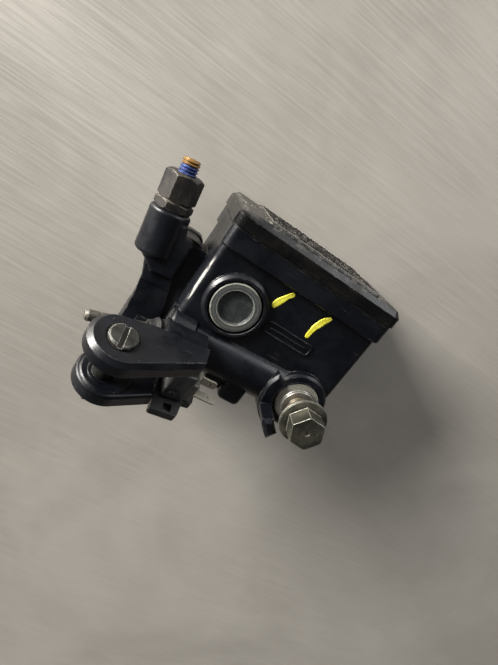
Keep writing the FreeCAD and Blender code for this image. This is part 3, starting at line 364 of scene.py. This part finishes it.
plunger_m = finish_mat("plunger_nylon", (0.05, 0.05, 0.048), (0.08, 0.078, 0.07), 0.4, grain=1500, bump=0.03, patch=200, wear=(0.2, 0.2, 0.19), edge=0.0003)


def lens_rings(nt, co, col, rgh):
    """a frosted lens: pale moulded rims, a greyer step and a dark sunken middle"""
    sep = nt.nodes.new("ShaderNodeSeparateXYZ")
    nt.links.new(co, sep.inputs[0])
    x, y, z = sep.outputs
    c = A(GX, 0, GZ)
    dx, dz = math_(nt, "SUBTRACT", x, c.x), math_(nt, "SUBTRACT", z, c.z)
    r = math_(nt, "SQRT", math_(nt, "ADD", math_(nt, "MULTIPLY", dx, dx), math_(nt, "MULTIPLY", dz, dz)))
    r = math_(nt, "MULTIPLY", r, 1000.0)
    wob = span(nt, noise(nt, co, 500.0, 3.0), 0.3, 0.7, -0.10, 0.10)
    r = math_(nt, "ADD", r, wob)
    col = mixc(nt, span(nt, r, 6.7, 7.1), (0.024, 0.028, 0.031), (0.052, 0.056, 0.055))
    ring1 = math_(nt, "MULTIPLY", span(nt, r, 7.15, 7.3), span(nt, r, 7.5, 7.7, 1.0, 0.0))
    ring2 = span(nt, r, 9.7, 10.1)
    ring3 = math_(nt, "MULTIPLY", span(nt, r, 8.55, 8.75), span(nt, r, 8.85, 9.1, 1.0, 0.0))
    col = mixc(nt, math_(nt, "MULTIPLY", ring1, 0.75), col, (0.30, 0.31, 0.27))
    col = mixc(nt, math_(nt, "MULTIPLY", ring3, 0.25), col, (0.24, 0.245, 0.22))
    col = mixc(nt, math_(nt, "MULTIPLY", ring2, 0.85), col, (0.36, 0.365, 0.30))
    grime = math_(nt, "MULTIPLY", span(nt, noise(nt, co, 420.0, 6.0, 0.7), 0.42, 0.72), 0.5)
    col = mixc(nt, grime, col, (0.095, 0.097, 0.088))
    return col, rgh


lens_m = finish_mat("sight_lens_frosted", (0.05, 0.055, 0.058), (0.07, 0.073, 0.072), 0.30, grain=1500, bump=0.03, patch=250, scratches=0.35, coat=0.35, extra=lens_rings, rvar=0.10)
for s in lens_m.node_tree.nodes:
    if s.type == "BSDF_PRINCIPLED":
        s.inputs["Subsurface Weight"].default_value = 0.10
        s.inputs["Subsurface Scale"].default_value = 0.002


def stud_colour(nt, co, col, rgh):
    """yellow zinc, with dried blue thread-lock round the lower turns"""
    ax = MIR.to_3x3() @ Vector((0, 0, 1))
    n = nt.nodes.new("ShaderNodeVectorMath")
    n.operation = "DOT_PRODUCT"
    nt.links.new(co, n.inputs[0])
    n.inputs[1].default_value = ax
    z = math_(nt, "MULTIPLY", math_(nt, "SUBTRACT", n.outputs["Value"], ax.dot(MIR.translation)), 1000.0)
    z = math_(nt, "ADD", z, span(nt, noise(nt, co, 350.0, 4.0), 0.3, 0.7, -0.8, 0.8))
    f = span(nt, z, 17.0, 17.35, 1.0, 0.0)
    blue = mixc(nt, span(nt, noise(nt, co, 900.0, 3.0), 0.35, 0.68), (0.006, 0.014, 0.10), (0.060, 0.095, 0.24))
    return mixc(nt, f, col, blue), mixf(nt, f, rgh, 0.5)


stud_m = finish_mat("stud_yellow_zinc", (0.24, 0.135, 0.038), (0.16, 0.080, 0.022), 0.40, metal=0.45, grain=1200, bump=0.04, patch=400, wear=(0.86, 0.66, 0.34), wear_at=(0.4, 0.6),
                    edge=0.00012, extra=stud_colour)
yellow_m = finish_mat("paint_pen_yellow", (0.72, 0.66, 0.045), (0.86, 0.82, 0.11), 0.42, grain=1400, bump=0.08, patch=380, dust=0.0, spec=0.4)


def relief_material():
    m, nt, b = nodes_of("lid_crackle_enamel")
    co = coords(nt)
    at = nt.nodes.new("ShaderNodeAttribute")
    at.attribute_type = "GEOMETRY"
    at.attribute_name = "relief"
    h = at.outputs["Fac"]
    grit = noise(nt, co, 1500.0, 4.0, 0.65)
    big = noise(nt, co, 120.0, 4.0, 0.6)
    low = mixc(nt, span(nt, grit, 0.35, 0.65), (0.10, 0.092, 0.080), (0.20, 0.187, 0.165))
    top = mixc(nt, span(nt, grit, 0.4, 0.7), (0.0035, 0.0035, 0.0035), (0.011, 0.0105, 0.0100))
    k = span(nt, math_(nt, "ADD", h, span(nt, grit, 0.3, 0.7, -0.12, 0.12)), 0.22, 0.52)
    col = mixc(nt, k, low, top)
    col = mixc(nt, math_(nt, "MULTIPLY", span(nt, big, 0.5, 0.7), 0.20), col, (0.06, 0.056, 0.050))
    bp = nt.nodes.new("ShaderNodeBump")
    bp.inputs["Strength"].default_value = 0.7
    bp.inputs["Distance"].default_value = 0.00012
    nt.links.new(grit, bp.inputs["Height"])
    nt.links.new(bp.outputs[0], b.inputs["Normal"])
    nt.links.new(col, b.inputs["Base Color"])
    nt.links.new(span(nt, k, 0.0, 1.0, 0.9, 0.55), b.inputs["Roughness"])
    b.inputs["Specular IOR Level"].default_value = 0.14
    return m


relief_m = relief_material()

use = {
    "master_cylinder_body": cast, "reservoir_lid": lid_m, "lid_screws": screw_m, "lid_set_plate": plate_m, "diaphragm": rubber_m, "sight_glass_lens": lens_m,
    "sight_glass_seal": rubber_m, "reservoir_baffle": plate_m, "clamp_holder": holder_m, "clamp_bolts": bolt_m, "mirror_adapter": adapter_m, "mirror_stud": stud_m,
    "pivot_screw": pivot_m, "pivot_locknut": nut_m, "banjo_bolt": banjo_m, "sealing_washer_inner": washer_m, "sealing_washer_outer": washer_m, "circlip": spring_m,
    "stop_washer": spring_m, "piston": alu_m, "secondary_cup": rubber_m, "primary_cup": rubber_m, "return_spring": spring_m, "push_rod": rod_m, "dust_boot": boot_m,
    "switch_housing": house_m, "switch_base": base_m, "switch_carrier": carrier_m, "switch_screw": screw_m, "switch_terminals": term_m, "switch_plunger": plunger_m,
    "switch_spring": spring_m,
}
for n, o in N.items():
    m = use[n]
    if len(o.data.materials) == 0:
        o.data.materials.append(m)
    for i in range(len(o.data.materials)):
        o.data.materials[i] = m


def dress(o, m, body="housing"):
    o.data.materials.clear()
    o.data.materials.append(m)
    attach(o, body)
    return o


# ---------------------------------------------------------------- the lid's raised panel, rough crackle enamel
def lid_relief():
    x0, x1, y0, y1 = 13.35, 67.35, 5.45, 43.35
    nx, ny = 216, 152
    xs, ys = np.linspace(x0, x1, nx), np.linspace(y0, y1, ny)
    X, Y = np.meshgrid(xs, ys, indexing="ij")
    pitch = 1.9
    gx, gy = int((x1 - x0) / pitch) + 4, int((y1 - y0) / pitch) + 4
    P = np.array([(x0 + (i - 1.5 + rng.uniform(-0.42, 0.42)) * pitch, y0 + (j - 1.5 + rng.uniform(-0.42, 0.42)) * pitch) for i in range(gx) for j in range(gy)])
    hgt = rng.uniform(0.35, 1.0, len(P))
    d = np.sqrt((X[..., None] - P[:, 0]) ** 2 + (Y[..., None] - P[:, 1]) ** 2)
    near = np.argsort(d, axis=2)[..., :2]
    f = np.take_along_axis(d, near, axis=2)
    gap = np.clip((f[..., 1] - f[..., 0]) / 0.85, 0, 1)
    h = gap * gap * (3 - 2 * gap) * hgt[near[..., 0]]
    rim = np.minimum.reduce([(X - x0), (x1 - X), (Y - y0), (y1 - Y)])
    h = h * np.clip(rim / 0.7, 0, 1)
    h = h + 0.10 * rng.standard_normal(h.shape) * np.clip(rim / 0.7, 0, 1)
    h = np.clip(h, -0.1, 1.15)
    verts = [A(X[i, j], Y[i, j], 8.02 + 0.46 * h[i, j]) for i in range(nx) for j in range(ny)]
    faces = [(i * ny + j, (i + 1) * ny + j, (i + 1) * ny + j + 1, i * ny + j + 1) for i in range(nx - 1) for j in range(ny - 1)]
    edge = [(i, 0) for i in range(nx)] + [(nx - 1, j) for j in range(1, ny)] + [(i, ny - 1) for i in range(nx - 2, -1, -1)] + [(0, j) for j in range(ny - 2, 0, -1)]
    base = len(verts)
    verts += [A(xs[i], ys[j], 7.9) for i, j in edge]
    n = len(edge)
    for k in range(n):
        a, b = edge[k], edge[(k + 1) % n]
        faces.append((a[0] * ny + a[1], b[0] * ny + b[1], base + (k + 1) % n, base + k))
    faces.append(tuple(range(base + n - 1, base - 1, -1)))
    me = bpy.data.meshes.new("lid_crackle_panel")
    me.from_pydata([tuple(v) for v in verts], [], faces)
    vals = np.concatenate([h.reshape(-1), np.zeros(n)]).astype(np.float32)
    me.attributes.new("relief", "FLOAT", "POINT").data.foreach_set("value", vals)
    me.update()
    o = bpy.data.objects.new("lid_crackle_panel", me)
    bpy.context.scene.collection.objects.link(o)
    return o


dress(lid_relief(), relief_m)


def shortening(node, name):
    """a copy of the node's own shape in its finish, attached to the housing, with the node itself hidden"""
    me = N[node].data.copy()
    me.name = name
    o = bpy.data.objects.new(name, me)
    bpy.context.scene.collection.objects.link(o)
    dress(o, use[node])
    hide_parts(node)
    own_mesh(o)
    return o


shortening("return_spring", "return_spring_coil")
shortening("switch_spring", "switch_spring_coil")
shortening("dust_boot", "dust_boot_bellows")

# ---------------------------------------------------------------- threads
stud = threaded("mirror_stud_thread", MIR, 3.8, 0.62, 1.25, 3.2, 19.7, lead=0.8)
dress(stud, stud_m)
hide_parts("mirror_stud")
dress(threaded("banjo_thread", BJ, 5.22, 0.30, 1.25, 3.2, 12.6, lead=0.5), shank_m)


# ---------------------------------------------------------------- raised casting beads
def bead(name, path, half, rise, closed=True, wander=0.02):
    """a raised bead of cast metal along a path of (x, z, y) points in mm, with sloped flanks and a slightly uneven crown"""
    P = [np.array(p, float) for p in path]
    n = len(P)
    prof = [(-1.0, -0.25), (-0.78, 0.62), (-0.40, 1.0), (0.40, 1.0), (0.78, 0.62), (1.0, -0.25)]
    m = len(prof)
    verts, faces = [], []
    for i in range(n):
        a = P[(i - 1) % n] if closed or i > 0 else P[i]
        b = P[(i + 1) % n] if closed or i < n - 1 else P[i]
        d = (b - a)[:2]
        d = d / (np.linalg.norm(d) + 1e-9)
        q = np.array([-d[1], d[0]])
        w = rng.standard_normal() * wander
        for u, h in prof:
            x, z = P[i][:2] + q * u * half
            verts.append(A(x, P[i][2] - rise * h + (w * 0.5 if h > 0 else 0), z))
    last = n if closed else n - 1
    for i in range(last):
        k0, k1 = i * m, ((i + 1) % n) * m
        for j in range(m):
            faces.append((k0 + j, k0 + (j + 1) % m, k1 + (j + 1) % m, k1 + j))
    if not closed:
        faces.append(tuple(range(m)))
        faces.append(tuple((n - 1) * m + k for k in range(m - 1, -1, -1)))
    return new_object(name, verts, faces)


def frame_path(x0, x1, z0, z1, r, y, step=0.35):
    pts = []
    for cx, cz, a0 in ((x1 - r, z1 - r, 0), (x0 + r, z1 - r, 90), (x0 + r, z0 + r, 180), (x1 - r, z0 + r, 270)):
        for k in range(7):
            a = math.radians(a0 + 15 * k)
            pts.append((cx + r * math.cos(a), cz + r * math.sin(a), y))
    out = []
    for p, q in zip(pts, pts[1:] + pts[:1]):
        d = math.dist(p, q)
        k = max(1, int(d / step))
        out += [tuple(p[i] + (q[i] - p[i]) * t / k for i in range(3)) for t in range(k)]
    return out


# a plain raised level frame with a centre line where a fill level is marked, and a plain ring on the shelf below
dress(bead("cast_level_frame", frame_path(35.0, 57.5, -29.9, -24.9, 1.4, 3.5), 0.42, 0.55), cast)
dress(bead("cast_level_line", [(37.4 + 0.4 * i, -27.4, 3.5) for i in range(45)], 0.42, 0.50, closed=False), cast)
dress(bead("cast_plain_ring", [(29.9 + 1.9 * math.cos(2 * math.pi * k / 40), -53.6 + 1.9 * math.sin(2 * math.pi * k / 40), 1.6) for k in range(40)], 0.32, 0.30), cast)


# ---------------------------------------------------------------- two slanted dabs of a paint pen on the front wall
def paint_dab(name, pts, width, seed):
    """a brushed band that hugs the wall: uneven edges, thicker rim, narrowing towards both ends"""
    r = np.random.default_rng(seed)
    P = [np.array(p, float) for p in pts]
    L = [np.linalg.norm(b - a) for a, b in zip(P, P[1:])]
    total = sum(L)
    n, m = 56, 9
    verts, faces = [], []
    wl = np.cumsum(r.standard_normal((2, n + 1)), axis=1)
    wl = (wl - wl.mean(axis=1, keepdims=True)) * 0.028
    for i in range(n + 1):
        s = total * i / n
        k, acc = 0, 0.0
        while k < len(L) - 1 and s > acc + L[k]:
            acc += L[k]
            k += 1
        c = P[k] + (P[k + 1] - P[k]) * ((s - acc) / L[k])
        d = (P[k + 1] - P[k]) / L[k]
        if 0 < k and s - acc < 1.2:
            d = d + (P[k] - P[k - 1]) / L[k - 1] * (1.2 - (s - acc)) / 1.2
            d = d / np.linalg.norm(d)
        q = np.array([-d[1], d[0]])
        u = i / n
        w = width * (0.5 + 0.10 * math.sin(7 * u + seed)) * math.sqrt(max(0.02, 1 - (2 * abs(u - 0.5)) ** 7))
        for j in range(m):
            v = 2 * j / (m - 1) - 1
            off = v * w + (wl[0, i] if v < 0 else wl[1, i]) * abs(v)
            x, z = c + q * off
            rise = 0.03 if abs(v) > 0.99 or i in (0, n) else (0.17 if abs(v) > 0.6 else 0.12) + 0.012 * r.standard_normal()
            p = on_front(x, z)
            verts.append(p + Vector((0, -rise / 1000, 0)))
    for i in range(n):
        for j in range(m - 1):
            a = i * m + j
            faces.append((a, a + 1, a + m + 1, a + m))
    front = len(verts)
    verts += [v + Vector((0, 0.00025, 0)) for v in verts]
    faces += [tuple(front + x for x in reversed(f)) for f in faces]
    rim = [j for j in range(m)] + [i * m + m - 1 for i in range(1, n + 1)] + [n * m + j for j in range(m - 2, -1, -1)] + [i * m for i in range(n - 1, 0, -1)]
    for a, b in zip(rim, rim[1:] + rim[:1]):
        faces.append((a, b, front + b, front + a))
    return new_object(name, verts, faces)


dress(paint_dab("paint_dab_upper", [(37.2, -10.2), (35.6, -12.6), (33.9, -15.6), (32.4, -19.6)], 2.7, 3), yellow_m)
dress(paint_dab("paint_dab_lower", [(56.6, -10.3), (54.4, -13.0), (52.9, -17.4), (52.6, -23.2)], 2.7, 5), yellow_m)

# ---------------------------------------------------------------- stage: pale table, soft light, camera
def table():
    nt_y = max(c[1] for c in cad_box) + 0.0006
    s = 2.5
    me = bpy.data.meshes.new("table")
    me.from_pydata([(-s, nt_y, -s), (s, nt_y, -s), (s, nt_y, s), (-s, nt_y, s)], [], [(0, 1, 2, 3)])
    o = bpy.data.objects.new("table", me)
    bpy.context.scene.collection.objects.link(o)
    m = bpy.data.materials.new("pale_table")
    m.use_nodes = True
    nt = m.node_tree
    b = nt.nodes["Principled BSDF"]
    co = coords(nt)
    big = noise(nt, co, 9.0, 4.0, 0.6, 0.6)
    brush = noise(nt, stretched(nt, co, (30, 1, 900), (0, 38, 0)), 1.0, 3.0, 0.6)
    col = mixc(nt, span(nt, big, 0.3, 0.7), (0.56, 0.528, 0.475), (0.46, 0.430, 0.385))
    col = mixc(nt, math_(nt, "MULTIPLY", span(nt, brush, 0.35, 0.7), 0.16), col, (0.74, 0.70, 0.65))
    nt.links.new(col, b.inputs["Base Color"])
    nt.links.new(span(nt, brush, 0.3, 0.7, 0.36, 0.50), b.inputs["Roughness"])
    b.inputs["Metallic"].default_value = 0.35
    geo = nt.nodes.new("ShaderNodeNewGeometry")
    clear = nt.nodes.new("ShaderNodeBsdfTransparent")
    mix = nt.nodes.new("ShaderNodeMixShader")
    nt.links.new(geo.outputs["Backfacing"], mix.inputs[0])
    nt.links.new(b.outputs[0], mix.inputs[1])
    nt.links.new(clear.outputs[0], mix.inputs[2])
    nt.links.new(mix.outputs[0], nt.nodes["Material Output"].inputs[0])
    me.materials.append(m)
    return o


table()

cam_right = Vector((0.8161701244493751, -0.09961454710481482, 0.569160144389428))
cam_down = Vector((0.4901231556624788, -0.40232794444144027, -0.7732473843505576))
cam_fwd = Vector((0.3060157189422553, 0.9100599799610067, -0.27954465230733105))
cam = bpy.data.cameras.new("view")
cam.sensor_width = 36.0
cam.sensor_fit = "AUTO"
cam.lens = 27.0677
cam.clip_start = 0.01
cam.clip_end = 20.0
co = bpy.data.objects.new("view", cam)
bpy.context.scene.collection.objects.link(co)
R = Matrix((cam_right, -cam_down, -cam_fwd)).transposed().to_4x4()
eye = A(-31.383941607453902, -182.17172926608333, 23.18769018153935)
co.matrix_world = Matrix.Translation(eye) @ R
bpy.context.scene.camera = co
mid = (Vector(cad_box[0]) + Vector(cad_box[1])) / 2


def lamp(name, direction, dist, size, power, colour=(1, 1, 1), size_y=None):
    d = Vector(direction).normalized()
    l = bpy.data.lights.new(name, "AREA")
    l.shape = "RECTANGLE"
    l.size, l.size_y = size, size_y or size
    l.energy = power
    l.color = colour
    o = bpy.data.objects.new(name, l)
    bpy.context.scene.collection.objects.link(o)
    o.location = mid + d * dist
    o.rotation_euler = (-d).to_track_quat("-Z", "Y").to_euler()
    return o


up, back = -cam_down, -cam_fwd
lamp("key_upper_left", -cam_right * 0.75 + up * 0.75 + back * 0.75, 1.7, 0.75, 102.0, (1.0, 0.97, 0.92))
lamp("top_soft", up * 1.0 - back * 0.15 + cam_right * 0.1, 1.3, 0.8, 16.0, (1.0, 0.98, 0.95))
lamp("right_soft", cam_right * 1.0 + up * 0.45 + back * 0.35, 1.3, 0.6, 6.0, (0.95, 0.97, 1.0))

world = bpy.data.worlds.new("studio")
bpy.context.scene.world = world
world.use_nodes = True
wt = world.node_tree
bg = wt.nodes["Background"]
tc = wt.nodes.new("ShaderNodeTexCoord")
dp = wt.nodes.new("ShaderNodeVectorMath")
dp.operation = "DOT_PRODUCT"
wt.links.new(tc.outputs["Generated"], dp.inputs[0])
dp.inputs[1].default_value = (-cam_right * 0.35 + up * 0.85 - back * 0.15).normalized()
ramp = wt.nodes.new("ShaderNodeMapRange")
ramp.interpolation_type = "SMOOTHSTEP"
wt.links.new(dp.outputs["Value"], ramp.inputs[0])
for i, v in zip((1, 2, 3, 4), (-0.45, 0.75, 0.09, 0.85)):
    ramp.inputs[i].default_value = v
mxw = wt.nodes.new("ShaderNodeMix")
mxw.data_type = "RGBA"
wt.links.new(ramp.outputs[0], mxw.inputs[0])
mxw.inputs[6].default_value = (0.0, 0.0, 0.0, 1)
mxw.inputs[7].default_value = (0.98, 0.97, 0.96, 1)
wt.links.new(mxw.outputs[2], bg.inputs[0])
bg.inputs[1].default_value = 0.95

bpy.context.scene.view_settings.view_transform = "Standard"
bpy.context.scene.view_settings.look = "None"
